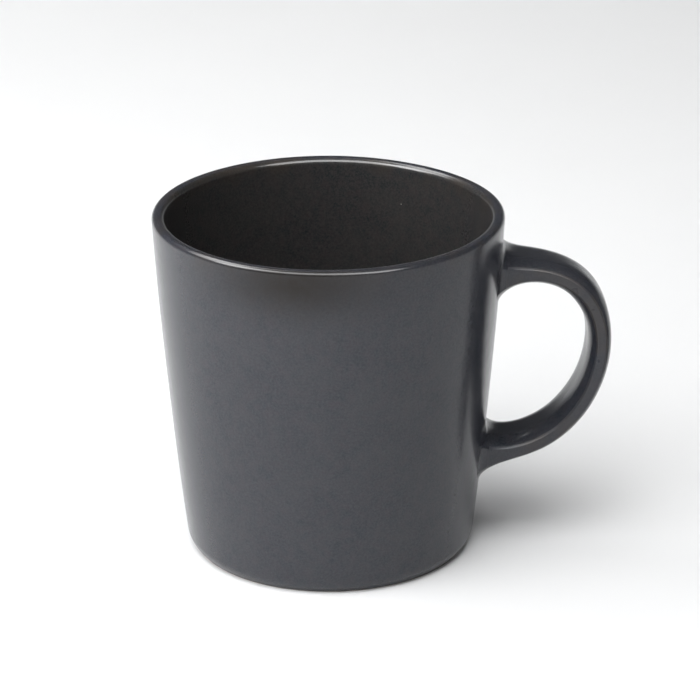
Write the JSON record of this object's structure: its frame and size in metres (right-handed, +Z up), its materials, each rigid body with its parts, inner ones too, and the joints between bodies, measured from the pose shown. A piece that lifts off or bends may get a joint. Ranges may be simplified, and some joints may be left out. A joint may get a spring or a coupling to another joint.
{
  "type": "ceramic mug",
  "caption": "Tapered ceramic mug with a satin charcoal glaze, a rounded lip, a bevelled foot and an ear-shaped strap handle at its side.",
  "frame": {"origin": "centre of the flat base, on the cup's axis, in the plane the mug stands on", "axes": "+Z up along the cup's axis, out of its mouth; +X from the axis towards the handle; +Y completes the right-handed set, across the handle"},
  "size_m": [0.1162, 0.0886, 0.089],
  "materials": {
    "cup_glaze": "satin charcoal glaze, slightly blue, browner where it thins at lip and foot; the bare clay under the foot is inferred",
    "handle_glaze": "satin charcoal glaze, browner and drier along the edges",
    "upper_joint_glaze": "satin charcoal glaze over the fired slip",
    "lower_joint_glaze": "satin charcoal glaze over the fired slip"
  },
  "bodies": {
    "root": {"cup": "cup_glaze", "handle": "handle_glaze", "upper_slip_joint": "upper_joint_glaze", "lower_slip_joint": "lower_joint_glaze"}
  },
  "joints": []
}
